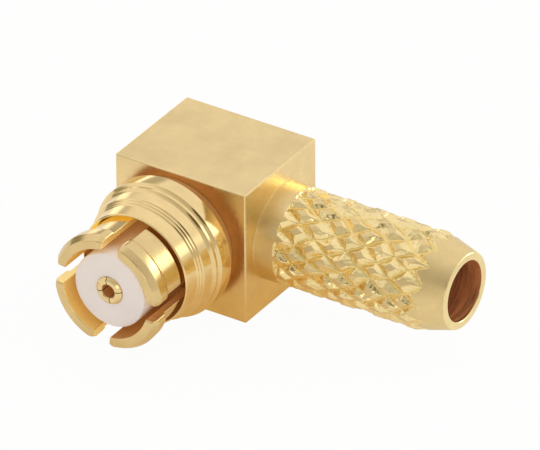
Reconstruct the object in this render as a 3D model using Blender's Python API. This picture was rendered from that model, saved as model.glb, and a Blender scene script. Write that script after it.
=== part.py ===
"""Right-angle SMP socket connector with a knurled crimp stem, for thin coaxial cable.

The spring-finger socket faces -Y, the cable stem points along +X and the square block
rests on its bottom face. The origin lies on that face, below the crossing of the two axes.
"""
from math import atan2, cos, degrees, pi, radians, sin

import bmesh
import bpy
from mathutils import Matrix, Vector

MM = 0.001

# Fits between the pieces
FIT_GAP = 0.02 * MM          # radial play of everything that is pressed or slid together
SEAT_GAP = 0.01 * MM         # axial play where a shoulder sits on its seat
MERGE_DISTANCE = 0.0001 * MM

# Spring fingers of the outer contact, lengths measured from the block's front face
FINGER_REACH = 3.48 * MM
FINGER_BARREL_RADIUS = 1.535 * MM
FINGER_WALL = 0.205 * MM
FINGER_TIP_RISE = 0.045 * MM
FINGER_CREST_RISE = 0.18 * MM
FINGER_BACK_RISE = 0.165 * MM
FINGER_SHOULDER_RISE = 0.12 * MM
FINGER_EDGE = 0.025 * MM
FINGER_LEAD_IN = 0.20 * MM
FINGER_CREST_LENGTH = 0.30 * MM
FINGER_SHOULDER_LENGTH = 0.12 * MM
FINGER_ROOT_LENGTH = 0.16 * MM
SLOT_WIDTH = 0.51 * MM
SLOT_TURN = radians(-6)        # the saw cuts sit a little askew to the block
SLOT_CORNER = 0.05 * MM        # rounding of the fingers' ends beside the slots
FINGER_CORNER = 0.10 * MM      # chamfer of the fingers' outer corners beside the slots
SLOT_END = 0.95 * MM

# Grooved collar around the fingers, lengths measured from the block's front face
COLLAR_REACH = 2.03 * MM
COLLAR_BORE_PLAY = 0.075 * MM
COLLAR_BORE_FLOOR = 0.55 * MM
COLLAR_LIP = 0.045 * MM
COLLAR_LIP_EDGE = 0.012 * MM
COLLAR_LIP_SLOPE = 0.04 * MM
NOSE_LENGTH = 0.435 * MM
NOSE_RISE = 0.045 * MM
MIDDLE_RING_LENGTH = 0.30 * MM
MIDDLE_RING_STEP = 0.115 * MM
MIDDLE_RING_RISE = 0.045 * MM
REAR_RING_LENGTH = 0.455 * MM
REAR_RING_STEP = 0.155 * MM
FRONT_GROOVES = 3
FRONT_GROOVE_WIDTH = 0.05 * MM
FRONT_GROOVE_DEPTH = 0.035 * MM
FRONT_RIDGE_WIDTH = 0.025 * MM
REAR_GROOVES = 2
REAR_GROOVE_WIDTH = 0.105 * MM
REAR_GROOVE_DEPTH = 0.06 * MM
REAR_RIDGE_WIDTH = 0.045 * MM
GROOVE_FLANK = 0.25            # share of a groove's width that each sloping flank takes
COLLAR_NECK_DEPTH = 0.22 * MM
COLLAR_EDGE = 0.03 * MM
SPIGOT_DEPTH = 0.90 * MM
SPIGOT_WALL = 0.16 * MM

# Insulator and centre contact
INSULATOR_CLEARANCE = 0.23 * MM   # open ring between the insulator and the fingers
INSULATOR_RECESS = 0.24 * MM
INSULATOR_EDGE = 0.03 * MM
INSULATOR_END_DEPTH = 0.72 * MM
TAIL_WALL = 0.25 * MM
PIN_BORE_RADIUS = 0.195 * MM
PIN_WALL = 0.21 * MM
PIN_RECESS = 0.15 * MM
PIN_NOSE_LENGTH = 0.06 * MM
PIN_NOSE_STEP = 0.085 * MM
PIN_MOUTH_RISE = 0.025 * MM
PIN_MOUTH_LENGTH = 0.03 * MM
PIN_BORE_DEPTH = 1.50 * MM
PIN_SLIT_WIDTH = 0.045 * MM
PIN_SLIT_LENGTH = 1.10 * MM
PIN_SLIT_TURN = radians(10)
PIN_FLANGE_RISE = 0.215 * MM
PIN_FLANGE_LENGTH = 0.20 * MM
PIN_TAIL_OVERRUN = 0.50 * MM
SOLDER_SLOT_WIDTH = 0.55 * MM
SOLDER_SLOT_DEPTH = 0.85 * MM

# Square block, sizes measured from the socket's axis
BLOCK_LEFT = 1.92 * MM
BLOCK_RIGHT = 2.21 * MM
BLOCK_ABOVE_AXIS = 1.97 * MM
BLOCK_DEPTH = 3.50 * MM
BLOCK_EDGE = 0.04 * MM
COLLAR_TO_BASE = 0.015 * MM
CAVITY_RADIUS = 1.15 * MM
SEAT_WALL = 0.10 * MM

# Cap and insulating disc in the back of the block
CAP_RADIUS = 1.40 * MM
CAP_THICKNESS = 0.40 * MM
CAP_EDGE = 0.05 * MM
DISC_TO_TAIL = 0.20 * MM

# Crimp stem, lengths measured from the block's right face
STEM_REACH = 5.81 * MM
STEM_BORE_RADIUS = 0.857 * MM
STEM_WALL = 0.518 * MM
STEM_BORE_MOUTH = 0.04 * MM
STEM_PLAIN_LENGTH = 0.60 * MM
STEM_TAPER_LENGTH = 1.05 * MM
STEM_TAPER_DROP = 0.30 * MM
STEM_END_ROUNDING = 0.06 * MM
STEM_SPIGOT_STEP = 0.27 * MM
STEM_ROOT_CHAMFER = 0.02 * MM
CABLE_HOLE_WALL = 0.04 * MM
KNURL_STARTS = 14
KNURL_PITCH = 1.0 * MM
KNURL_DEPTH = 0.135 * MM
KNURL_PEAK_FLAT = 0.012 * MM
KNURL_RUN_IN = 0.05 * MM
KNURL_TURN = 0.07              # turn of the pattern, as a share of one column

# Facets round each turned piece
FACETS = 64
INSULATOR_FACETS = 48
PIN_FACETS = 32
STEM_FACETS = 4 * KNURL_STARTS
CORNER_STEPS = 4

# Places that follow from the sizes, along the socket's axis from the crossing point
FRONT_FACE = BLOCK_DEPTH / 2
BACK_FACE = -BLOCK_DEPTH / 2
FINGER_TIP = FRONT_FACE + FINGER_REACH
COLLAR_RIM = FRONT_FACE + COLLAR_REACH
COLLAR_FLOOR = FRONT_FACE + COLLAR_BORE_FLOOR
INSULATOR_FRONT = FINGER_TIP - INSULATOR_RECESS
INSULATOR_BACK = FRONT_FACE - INSULATOR_END_DEPTH
SPIGOT_END = FRONT_FACE - SPIGOT_DEPTH
PIN_TIP = FINGER_TIP - PIN_RECESS

# Radii that follow from the sizes
FINGER_BORE_RADIUS = FINGER_BARREL_RADIUS - FINGER_WALL
FINGER_TIP_RADIUS = FINGER_BARREL_RADIUS + FINGER_TIP_RISE
FINGER_SHOULDER_RADIUS = FINGER_BARREL_RADIUS + FINGER_SHOULDER_RISE
FINGER_BACK_RADIUS = FINGER_BARREL_RADIUS + FINGER_BACK_RISE
FINGER_CREST_RADIUS = FINGER_BARREL_RADIUS + FINGER_CREST_RISE
INSULATOR_RADIUS = FINGER_BORE_RADIUS - INSULATOR_CLEARANCE
PIN_RADIUS = PIN_BORE_RADIUS + PIN_WALL
STEM_RADIUS = STEM_BORE_RADIUS + STEM_WALL
STEM_END_RADIUS = STEM_RADIUS - STEM_TAPER_DROP
TAIL_BORE_RADIUS = INSULATOR_RADIUS + FIT_GAP
TAIL_RADIUS = TAIL_BORE_RADIUS + TAIL_WALL
SPIGOT_BORE_RADIUS = TAIL_RADIUS + FIT_GAP
SPIGOT_RADIUS = SPIGOT_BORE_RADIUS + SPIGOT_WALL
FRONT_BORE_RADIUS = SPIGOT_RADIUS + FIT_GAP
COLLAR_BORE_RADIUS = FINGER_BARREL_RADIUS + COLLAR_BORE_PLAY
NOSE_RADIUS = COLLAR_BORE_RADIUS + COLLAR_LIP
NOSE_REAR_RADIUS = NOSE_RADIUS + NOSE_RISE
MIDDLE_FRONT_RADIUS = NOSE_REAR_RADIUS + MIDDLE_RING_STEP
MIDDLE_REAR_RADIUS = MIDDLE_FRONT_RADIUS + MIDDLE_RING_RISE
REAR_RING_RADIUS = MIDDLE_REAR_RADIUS + REAR_RING_STEP
AXIS_HEIGHT = REAR_RING_RADIUS + COLLAR_TO_BASE
CAP_SEAT = BACK_FACE + CAP_THICKNESS + SEAT_GAP
STEM_SEAT = FRONT_BORE_RADIUS + SEAT_WALL
STEM_SPIGOT_RADIUS = STEM_RADIUS - STEM_SPIGOT_STEP
CABLE_HOLE_RADIUS = STEM_BORE_RADIUS - CABLE_HOLE_WALL


def clear_scene():
    for item in list(bpy.data.objects):
        bpy.data.objects.remove(item, do_unlink=True)


def make_material(name, colour, roughness, metallic):
    material = bpy.data.materials.new(name)
    material.use_nodes = True
    shader = material.node_tree.nodes["Principled BSDF"]
    shader.inputs["Base Color"].default_value = (*colour, 1.0)
    shader.inputs["Roughness"].default_value = roughness
    shader.inputs["Metallic"].default_value = metallic
    return material


def satin_gold():
    return make_material("satin_gold", (0.83, 0.62, 0.30), 0.38, 1.0)


def bright_gold():
    return make_material("bright_gold", (0.86, 0.64, 0.28), 0.20, 1.0)


def contact_gold():
    return make_material("contact_gold", (0.84, 0.60, 0.25), 0.24, 1.0)


def knurl_gold():
    return make_material("knurl_gold", (0.84, 0.63, 0.29), 0.30, 1.0)


def white_insulator():
    return make_material("white_insulator", (0.80, 0.78, 0.76), 0.55, 0.0)


def make_axis(name, height, tilt):
    """Empty whose local +Z runs along one of the two bore axes, from their crossing."""
    axis = bpy.data.objects.new(name, None)
    axis.empty_display_size = MM
    axis.location = (0, 0, height)
    axis.rotation_euler = tilt
    bpy.context.collection.objects.link(axis)
    return axis


def add_object(name, bm, parent=None, material=None):
    bmesh.ops.recalc_face_normals(bm, faces=bm.faces)
    mesh = bpy.data.meshes.new(name)
    bm.to_mesh(mesh)
    bm.free()
    mesh.shade_smooth()
    mesh.set_sharp_from_angle(angle=radians(30))
    item = bpy.data.objects.new(name, mesh)
    bpy.context.collection.objects.link(item)
    item.parent = parent
    if material:
        mesh.materials.append(material)
    return item


def turned(name, profile, parent, material=None, facets=FACETS):
    """Solid of revolution about the parent's local Z, from (distance, radius) points."""
    bm = bmesh.new()
    points = [bm.verts.new((radius, 0, distance)) for distance, radius in profile]
    edges = [bm.edges.new(pair) for pair in zip(points, points[1:])]
    closes_on_axis = profile[0][1] == 0 and profile[-1][1] == 0
    if not closes_on_axis:
        edges.append(bm.edges.new((points[-1], points[0])))
    bmesh.ops.spin(bm, geom=points + edges, cent=(0, 0, 0), axis=(0, 0, 1),
                   angle=2 * pi, steps=facets, use_merge=True)
    bmesh.ops.remove_doubles(bm, verts=bm.verts, dist=MERGE_DISTANCE)
    return add_object(name, bm, parent, material)


def arc(centre, radius, start, end, steps):
    """Points of a circular arc in the profile plane, angles in degrees from the axis."""
    points = []
    for step in range(steps + 1):
        angle = radians(start + (end - start) * step / steps)
        points.append((centre[0] + radius * cos(angle), centre[1] + radius * sin(angle)))
    return points


def box(name, low, high, parent=None, material=None):
    bm = bmesh.new()
    bmesh.ops.create_cube(bm, size=1)
    low = Vector(low)
    high = Vector(high)
    bmesh.ops.scale(bm, vec=high - low, verts=bm.verts)
    bmesh.ops.translate(bm, vec=(low + high) / 2, verts=bm.verts)
    return add_object(name, bm, parent, material)


def as_cutter(item):
    item.hide_render = True
    item.display_type = "WIRE"
    return item


def combine(item, tool, operation="DIFFERENCE"):
    modifier = item.modifiers.new(tool.name, "BOOLEAN")
    modifier.operation = operation
    modifier.solver = "EXACT"
    modifier.object = as_cutter(tool)


def add_prism(bm, outlines):
    """Closed prism through matching outlines, one after the other."""
    rows = [[bm.verts.new(point) for point in outline] for outline in outlines]
    bm.faces.new(rows[0])
    bm.faces.new(reversed(rows[-1]))
    for near, far in zip(rows, rows[1:]):
        for index in range(len(near)):
            following = (index + 1) % len(near)
            bm.faces.new((near[index], far[index], far[following], near[following]))


def cross_cutter(name, width, corner, reach, start, end, parent, turn):
    """Saw blade through the axis whose sides flare out at the mouth, to round the corners.

    The outline is drawn in local y and z and runs along local x, from -reach to +reach.
    """
    half = width / 2
    side = [(half, start)]
    if corner:
        for step in range(CORNER_STEPS + 1):
            angle = pi / 2 * step / CORNER_STEPS
            side.append((half + corner * (1 - cos(angle)), end - corner * (1 - sin(angle))))
    side.append((half + corner, end + reach - half))
    outline = side + [(-y, z) for y, z in reversed(side)]
    bm = bmesh.new()
    add_prism(bm, [[(x, y, z) for y, z in outline] for x in (-reach, reach)])
    blade = add_object(name, bm, parent)
    blade.rotation_euler.z = turn
    return blade


def cut_cross(item, name, width, corner, reach, start, end, turn):
    """Two crossing saw cuts through the axis, which leave four equal prongs."""
    for number in range(2):
        blade = cross_cutter(f"{name}_{number}", width, corner, reach, start, end,
                             item.parent, turn + number * pi / 2)
        combine(item, blade)


def make_body_block(socket, stem):
    """Square block with the stepped front bore, the cap's counterbore and the stem's bore."""
    low = (-BLOCK_LEFT, -BLOCK_DEPTH / 2, 0)
    high = (BLOCK_RIGHT, BLOCK_DEPTH / 2, AXIS_HEIGHT + BLOCK_ABOVE_AXIS)
    block = box("body_block", low, high, None, satin_gold())
    edge = block.modifiers.new("edge_break", "BEVEL")
    edge.width = BLOCK_EDGE
    edge.segments = 2
    overshoot = BLOCK_DEPTH / 10
    front_bore = [
        (FRONT_FACE + overshoot, 0),
        (FRONT_FACE + overshoot, FRONT_BORE_RADIUS),
        (SPIGOT_END - FIT_GAP, FRONT_BORE_RADIUS),
        (SPIGOT_END - FIT_GAP, CAVITY_RADIUS),
        (CAP_SEAT, CAVITY_RADIUS),
        (CAP_SEAT, CAP_RADIUS + FIT_GAP),
        (BACK_FACE - overshoot, CAP_RADIUS + FIT_GAP),
        (BACK_FACE - overshoot, 0),
    ]
    combine(block, turned("bore_through_block", front_bore, socket))
    spigot_bore = STEM_SPIGOT_RADIUS + FIT_GAP
    side_bore = [
        (BLOCK_RIGHT + overshoot, 0),
        (BLOCK_RIGHT + overshoot, spigot_bore),
        (STEM_SEAT, spigot_bore),
        (STEM_SEAT, CABLE_HOLE_RADIUS),
        (CAVITY_RADIUS / 2, CABLE_HOLE_RADIUS),
        (CAVITY_RADIUS / 2, 0),
    ]
    combine(block, turned("bore_from_side", side_bore, stem))
    return block


def grooves(front, back, count, width, depth, ridge):
    """Row of turned grooves between two (distance, radius) edges, with ridges between them."""
    slope = (back[1] - front[1]) / (front[0] - back[0])
    section = ((0, 0), (GROOVE_FLANK, depth), (1 - GROOVE_FLANK, depth), (1, 0))
    points = []
    for index in range(count):
        lip = front[0] - index * (width + ridge)
        for share, drop in section:
            distance = lip - share * width
            points.append((distance, front[1] + slope * (front[0] - distance) - drop))
    return points


def make_grooved_collar(socket):
    """Turned collar: nose and two rings parted by fine grooves, a neck and a hidden spigot."""
    nose_rear = COLLAR_RIM - NOSE_LENGTH
    front_rows = FRONT_GROOVES * FRONT_GROOVE_WIDTH + (FRONT_GROOVES - 1) * FRONT_RIDGE_WIDTH
    middle_front = nose_rear - front_rows
    middle_rear = middle_front - MIDDLE_RING_LENGTH
    rear_rows = REAR_GROOVES * REAR_GROOVE_WIDTH + (REAR_GROOVES - 1) * REAR_RIDGE_WIDTH
    rear_front = middle_rear - rear_rows
    rear_rear = rear_front - REAR_RING_LENGTH
    neck_radius = REAR_RING_RADIUS - COLLAR_NECK_DEPTH
    seat = FRONT_FACE + SEAT_GAP
    edge = COLLAR_EDGE
    profile = [
        (COLLAR_RIM - COLLAR_LIP_EDGE, COLLAR_BORE_RADIUS),
        (COLLAR_RIM, COLLAR_BORE_RADIUS + COLLAR_LIP_EDGE),
        (COLLAR_RIM - COLLAR_LIP_SLOPE, NOSE_RADIUS),
    ]
    profile += grooves((nose_rear, NOSE_REAR_RADIUS), (middle_front, MIDDLE_FRONT_RADIUS),
                       FRONT_GROOVES, FRONT_GROOVE_WIDTH, FRONT_GROOVE_DEPTH, FRONT_RIDGE_WIDTH)
    profile += grooves((middle_rear, MIDDLE_REAR_RADIUS), (rear_front, REAR_RING_RADIUS - edge),
                       REAR_GROOVES, REAR_GROOVE_WIDTH, REAR_GROOVE_DEPTH, REAR_RIDGE_WIDTH)
    profile += [
        (rear_front - edge, REAR_RING_RADIUS),
        (rear_rear + edge, REAR_RING_RADIUS),
        (rear_rear, REAR_RING_RADIUS - edge),
        (rear_rear, neck_radius),
        (seat, neck_radius),
        (seat, SPIGOT_RADIUS),
        (SPIGOT_END, SPIGOT_RADIUS),
        (SPIGOT_END, SPIGOT_BORE_RADIUS),
        (COLLAR_FLOOR, SPIGOT_BORE_RADIUS),
        (COLLAR_FLOOR, COLLAR_BORE_RADIUS),
    ]
    return turned("grooved_collar", profile, socket, bright_gold())


def finger_corner_cutter(start, bend, end, parent):
    """Four wedges that chamfer the fingers' outer corners beside the slots.

    From start to bend they follow the crest, and from there to end the tapering lead-in.
    """
    lead_in_drop = (FINGER_CREST_RADIUS - FINGER_TIP_RADIUS) / FINGER_LEAD_IN * (end - bend)
    bm = bmesh.new()
    for number in range(4):
        turn = Matrix.Rotation(SLOT_TURN + number * pi / 2, 3, "Z")
        outlines = []
        for z, drop in ((start, 0), (bend, 0), (end, lead_in_drop)):
            inner = FINGER_CREST_RADIUS - 2 * FINGER_CORNER - drop
            outer = FINGER_CREST_RADIUS + FINGER_CORNER - drop
            narrow = SLOT_WIDTH / 2 - FINGER_CORNER
            wide = SLOT_WIDTH / 2 + 2 * FINGER_CORNER
            corners = ((inner, -narrow), (outer, -wide), (outer, wide), (inner, narrow))
            outlines.append([turn @ Vector((x, y, z)) for x, y in corners])
        add_prism(bm, outlines)
    return add_object("finger_corners", bm, parent)


def make_outer_contact(socket):
    """Slotted spring sleeve: four flared fingers on a flange and a tail in the collar."""
    crest_front = FINGER_TIP - FINGER_LEAD_IN
    crest_back = crest_front - FINGER_CREST_LENGTH
    shoulder = crest_back - FINGER_SHOULDER_LENGTH
    root = COLLAR_FLOOR + SEAT_GAP
    tail_end = SPIGOT_END
    profile = [
        (FINGER_TIP - FINGER_EDGE, FINGER_BORE_RADIUS),
        (FINGER_TIP, FINGER_BORE_RADIUS + FINGER_EDGE),
        (FINGER_TIP, FINGER_TIP_RADIUS - FINGER_EDGE),
        (FINGER_TIP - FINGER_EDGE, FINGER_TIP_RADIUS),
        (crest_front, FINGER_CREST_RADIUS),
        (crest_back, FINGER_BACK_RADIUS),
        (shoulder, FINGER_SHOULDER_RADIUS),
        (shoulder, FINGER_BARREL_RADIUS),
        (root, FINGER_BARREL_RADIUS),
        (root, TAIL_RADIUS),
        (tail_end, TAIL_RADIUS),
        (tail_end, TAIL_BORE_RADIUS),
        (root + FINGER_ROOT_LENGTH, TAIL_BORE_RADIUS),
        (root + FINGER_ROOT_LENGTH, FINGER_BORE_RADIUS),
    ]
    sleeve = turned("outer_contact", profile, socket, bright_gold())
    overshoot = FINGER_REACH / 10
    cut_cross(sleeve, "finger_slot", SLOT_WIDTH, SLOT_CORNER, FINGER_CREST_RADIUS + overshoot,
              FRONT_FACE + SLOT_END, FINGER_TIP, SLOT_TURN)
    combine(sleeve, finger_corner_cutter(shoulder - FINGER_CORNER, crest_front,
                                         FINGER_TIP + FINGER_CORNER, socket))
    return sleeve


def make_front_insulator(socket):
    hole = PIN_RADIUS + FIT_GAP
    profile = [
        (INSULATOR_FRONT, hole),
        (INSULATOR_FRONT, INSULATOR_RADIUS - INSULATOR_EDGE),
        (INSULATOR_FRONT - INSULATOR_EDGE, INSULATOR_RADIUS),
        (INSULATOR_BACK, INSULATOR_RADIUS),
        (INSULATOR_BACK, hole),
    ]
    return turned("front_insulator", profile, socket, white_insulator(), INSULATOR_FACETS)


def make_center_contact(socket):
    """Slit pin socket in front, a flange behind the insulator and a slotted solder tail."""
    nose_back = PIN_TIP - PIN_NOSE_LENGTH
    nose_radius = PIN_RADIUS - PIN_NOSE_STEP
    flange_radius = PIN_RADIUS + PIN_FLANGE_RISE
    flange_front = INSULATOR_BACK - SEAT_GAP
    flange_back = flange_front - PIN_FLANGE_LENGTH
    tail_end = -PIN_TAIL_OVERRUN
    profile = [
        (PIN_TIP - PIN_BORE_DEPTH, 0),
        (PIN_TIP - PIN_BORE_DEPTH, PIN_BORE_RADIUS),
        (PIN_TIP - PIN_MOUTH_LENGTH, PIN_BORE_RADIUS),
        (PIN_TIP, PIN_BORE_RADIUS + PIN_MOUTH_RISE),
        (PIN_TIP, nose_radius),
        (nose_back, PIN_RADIUS),
        (flange_front, PIN_RADIUS),
        (flange_front, flange_radius),
        (flange_back, flange_radius),
        (flange_back, PIN_RADIUS),
        (tail_end, PIN_RADIUS),
        (tail_end, 0),
    ]
    pin = turned("center_contact", profile, socket, contact_gold(), PIN_FACETS)
    overshoot = PIN_RADIUS / 2
    cut_cross(pin, "pin_slit", PIN_SLIT_WIDTH, 0, PIN_RADIUS + overshoot,
              PIN_TIP - PIN_SLIT_LENGTH, PIN_TIP, PIN_SLIT_TURN)
    half = SOLDER_SLOT_WIDTH / 2
    reach = PIN_RADIUS + overshoot
    solder_slot = box("solder_slot", (-reach, -half, tail_end - overshoot),
                      (reach, half, tail_end + SOLDER_SLOT_DEPTH), socket)
    combine(pin, solder_slot)
    return pin


def make_insulating_disc(socket):
    """Plug of insulator that keeps the solder joint clear of the cap."""
    back = CAP_SEAT + SEAT_GAP
    front = -PIN_TAIL_OVERRUN - DISC_TO_TAIL
    radius = CAVITY_RADIUS - FIT_GAP
    profile = [(front, 0), (front, radius), (back, radius), (back, 0)]
    return turned("insulating_disc", profile, socket, white_insulator(), INSULATOR_FACETS)


def make_rear_cap(socket):
    """Pressed-in cap that closes the soldering access opposite the socket."""
    front = BACK_FACE + CAP_THICKNESS
    profile = [
        (front, 0),
        (front, CAP_RADIUS),
        (BACK_FACE + CAP_EDGE, CAP_RADIUS),
        (BACK_FACE, CAP_RADIUS - CAP_EDGE),
        (BACK_FACE, 0),
    ]
    return turned("rear_cap", profile, socket, satin_gold())


def make_knurl_roller(stem, start, end):
    """Solid rod whose skin is a lattice of diamond pyramids between two screw families.

    Peaks and groove crossings alternate like a chessboard, so each pyramid face is one
    triangle between a peak and two neighbouring crossings.
    """
    columns = 2 * KNURL_STARTS
    row_step = KNURL_PITCH / 2
    peak = STEM_RADIUS + KNURL_PEAK_FLAT
    valley = peak - KNURL_DEPTH
    clear_radius = peak + KNURL_DEPTH
    plain_end = start + KNURL_RUN_IN
    rows = int((end - plain_end) / row_step) + 2
    bm = bmesh.new()

    def ring(distance, radius_of):
        verts = []
        for column in range(columns):
            angle = 2 * pi * (column + KNURL_TURN) / columns
            radius = radius_of(column)
            verts.append(bm.verts.new((radius * cos(angle), radius * sin(angle), distance)))
        return verts

    rings = [ring(STEM_SEAT - STEM_PLAIN_LENGTH, lambda column: clear_radius)]
    rings.append(ring(start, lambda column: clear_radius))
    for row in range(rows):
        rings.append(ring(plain_end + row * row_step,
                          lambda column, row=row: peak if (row + column) % 2 else valley))
    for index, (below, above) in enumerate(zip(rings, rings[1:])):
        for column in range(columns):
            following = (column + 1) % columns
            corners = (below[column], below[following], above[following], above[column])
            row = index - 2
            crossing_first = row >= 0 and (row + column) % 2 == 0
            if crossing_first:
                bm.faces.new((corners[0], corners[1], corners[2]))
                bm.faces.new((corners[0], corners[2], corners[3]))
            else:
                bm.faces.new((corners[0], corners[1], corners[3]))
                bm.faces.new((corners[1], corners[2], corners[3]))
    bm.faces.new(reversed(rings[0]))
    bm.faces.new(rings[-1])
    return add_object("knurl_roller", bm, stem)


def make_crimp_stem(stem):
    """Tube over which the cable's braid is crimped: plain root, diamond knurl, plain taper."""
    end = BLOCK_RIGHT + STEM_REACH
    taper_start = end - STEM_TAPER_LENGTH
    seat = BLOCK_RIGHT + SEAT_GAP
    spigot_end = STEM_SEAT + SEAT_GAP
    rounding_centre = (end - STEM_END_ROUNDING, STEM_END_RADIUS - STEM_END_ROUNDING)
    taper_normal = degrees(atan2(STEM_TAPER_LENGTH, STEM_RADIUS - STEM_END_RADIUS))
    profile = [
        (spigot_end, STEM_BORE_RADIUS),
        (spigot_end, STEM_SPIGOT_RADIUS),
        (seat, STEM_SPIGOT_RADIUS),
        (seat, STEM_RADIUS - STEM_ROOT_CHAMFER),
        (seat + STEM_ROOT_CHAMFER, STEM_RADIUS),
        (taper_start, STEM_RADIUS),
    ]
    profile += arc(rounding_centre, STEM_END_ROUNDING, taper_normal, 0, 3)
    profile += [
        (end, STEM_BORE_RADIUS + STEM_BORE_MOUTH),
        (end - STEM_BORE_MOUTH, STEM_BORE_RADIUS),
    ]
    tube = turned("crimp_stem", profile, stem, knurl_gold(), STEM_FACETS)
    knurl_start = BLOCK_RIGHT + STEM_PLAIN_LENGTH
    combine(tube, make_knurl_roller(stem, knurl_start, end), "INTERSECT")
    return tube


def main():
    clear_scene()
    socket = make_axis("socket_axis", AXIS_HEIGHT, (radians(90), 0, 0))
    stem = make_axis("stem_axis", AXIS_HEIGHT, (0, radians(90), 0))
    make_body_block(socket, stem)
    make_grooved_collar(socket)
    make_outer_contact(socket)
    make_front_insulator(socket)
    make_center_contact(socket)
    make_insulating_disc(socket)
    make_rear_cap(socket)
    make_crimp_stem(stem)


main()
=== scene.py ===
"""Looks of the right-angle SMP socket connector: gold finishes, fine turned edges, diamond knurl."""

from math import acos, asin, cos, pi, radians, sin, sqrt, tan

import bmesh
import bpy
import numpy as np
from mathutils import Matrix, Vector


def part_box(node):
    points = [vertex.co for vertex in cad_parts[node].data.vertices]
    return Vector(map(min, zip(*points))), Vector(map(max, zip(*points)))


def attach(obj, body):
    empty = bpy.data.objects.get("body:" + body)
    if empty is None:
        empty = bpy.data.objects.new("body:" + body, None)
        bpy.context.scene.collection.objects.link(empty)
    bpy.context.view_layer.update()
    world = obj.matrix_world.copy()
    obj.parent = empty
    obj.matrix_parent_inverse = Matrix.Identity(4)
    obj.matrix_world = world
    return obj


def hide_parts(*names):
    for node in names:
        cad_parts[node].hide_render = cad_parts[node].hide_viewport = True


MM = 0.001

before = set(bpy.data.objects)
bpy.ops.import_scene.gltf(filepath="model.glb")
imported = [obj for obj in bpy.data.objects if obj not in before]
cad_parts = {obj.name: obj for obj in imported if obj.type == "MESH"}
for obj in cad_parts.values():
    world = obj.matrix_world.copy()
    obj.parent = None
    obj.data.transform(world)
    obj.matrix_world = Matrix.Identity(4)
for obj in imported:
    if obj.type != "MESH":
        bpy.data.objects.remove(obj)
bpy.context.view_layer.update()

# Places taken from the frame, in millimetres
block_low, block_high = (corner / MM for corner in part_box("body_block"))
collar_low, collar_high = (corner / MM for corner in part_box("grooved_collar"))
contact_low, contact_high = (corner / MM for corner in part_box("outer_contact"))
insulator_low, insulator_high = (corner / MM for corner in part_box("front_insulator"))
pin_low, pin_high = (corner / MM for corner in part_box("center_contact"))
stem_low, stem_high = (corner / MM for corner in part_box("crimp_stem"))
cap_low, cap_high = (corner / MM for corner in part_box("rear_cap"))
AXIS_HEIGHT = (collar_low.z + collar_high.z) / 2
FRONT_FACE = -block_low.y
RIGHT_FACE = block_high.x

# Fineness of the turned forms
SEGMENTS = 192
CAP_SEGMENTS = 128
SHANK_SEGMENTS = 64
FILLET_STEPS = 4
FILLET_SHARE = 0.45   # most that a fillet takes of the edge beside it
GROOVE_STEPS = 10
SHARP = 0             # a corner without a fillet
ON_AXIS = 0.0001      # radius of an end that closes on the axis
SMOOTH_ANGLE = 40
KNURL_SMOOTH_ANGLE = 60


def link(name, mesh):
    item = bpy.data.objects.new(name, mesh)
    bpy.context.scene.collection.objects.link(item)
    return item


def mesh_object(name, verts, faces, smooth_angle=SMOOTH_ANGLE):
    """Smooth-shaded object from coordinates in millimetres, with sharp edges kept."""
    mesh = bpy.data.meshes.new(name)
    mesh.from_pydata((np.asarray(verts) * MM).tolist(), [], faces)
    mesh.validate()
    mesh.shade_smooth()
    mesh.set_sharp_from_angle(angle=radians(smooth_angle))
    bm = bmesh.new()
    bm.from_mesh(mesh)
    bmesh.ops.recalc_face_normals(bm, faces=bm.faces)
    bm.to_mesh(mesh)
    bm.free()
    return link(name, mesh)


def rounded(profile):
    """Profile with each (distance, radius, fillet) corner replaced by a small arc."""
    points = []
    count = len(profile)
    for index, (x, y, fillet) in enumerate(profile):
        corner = np.array((x, y))
        if not fillet:
            points.append(corner)
            continue
        before = np.array(profile[index - 1][:2]) - corner
        after = np.array(profile[(index + 1) % count][:2]) - corner
        a = before / np.linalg.norm(before)
        b = after / np.linalg.norm(after)
        angle = acos(np.clip(a @ b, -1, 1))
        reach = fillet / tan(angle / 2)
        limit = FILLET_SHARE * min(np.linalg.norm(before), np.linalg.norm(after))
        if reach > limit:
            fillet *= limit / reach
            reach = limit
        middle = (a + b) / np.linalg.norm(a + b)
        centre = corner + middle * fillet / sin(angle / 2)
        start = corner + a * reach - centre
        end = corner + b * reach - centre
        turn = pi - angle
        sense = np.sign(start[0] * end[1] - start[1] * end[0])
        for step in range(FILLET_STEPS + 1):
            t = sense * turn * step / FILLET_STEPS
            points.append(centre + (start[0] * cos(t) - start[1] * sin(t),
                                    start[0] * sin(t) + start[1] * cos(t)))
    return points


def socket_point(radius, angle, distance):
    """Point around the socket's axis: angle from +X towards +Z, distance towards -Y."""
    return (radius * cos(angle), -distance, AXIS_HEIGHT + radius * sin(angle))


def closed_grid(rows, columns):
    """Faces of a grid of points that closes on itself both ways."""
    faces = []
    for row in range(rows):
        following = (row + 1) % rows
        for step in range(columns):
            beside = (step + 1) % columns
            faces.append((row * columns + step, row * columns + beside,
                          following * columns + beside, following * columns + step))
    return faces


def turned(name, profile, segments=SEGMENTS):
    """Solid of revolution round the socket's axis from (distance, radius, fillet) corners."""
    outline = rounded(profile)
    verts = [socket_point(radius, 2 * pi * step / segments, x)
             for x, radius in outline for step in range(segments)]
    item = mesh_object(name, verts, closed_grid(len(outline), segments))
    shading = item.modifiers.new("even_shading", "WEIGHTED_NORMAL")
    shading.keep_sharp = True
    shading.weight = 100
    return item


def as_cut(x, radius, rows_in):
    """Outline of a prong that is the same right up to the slits."""
    return x, radius


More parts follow.
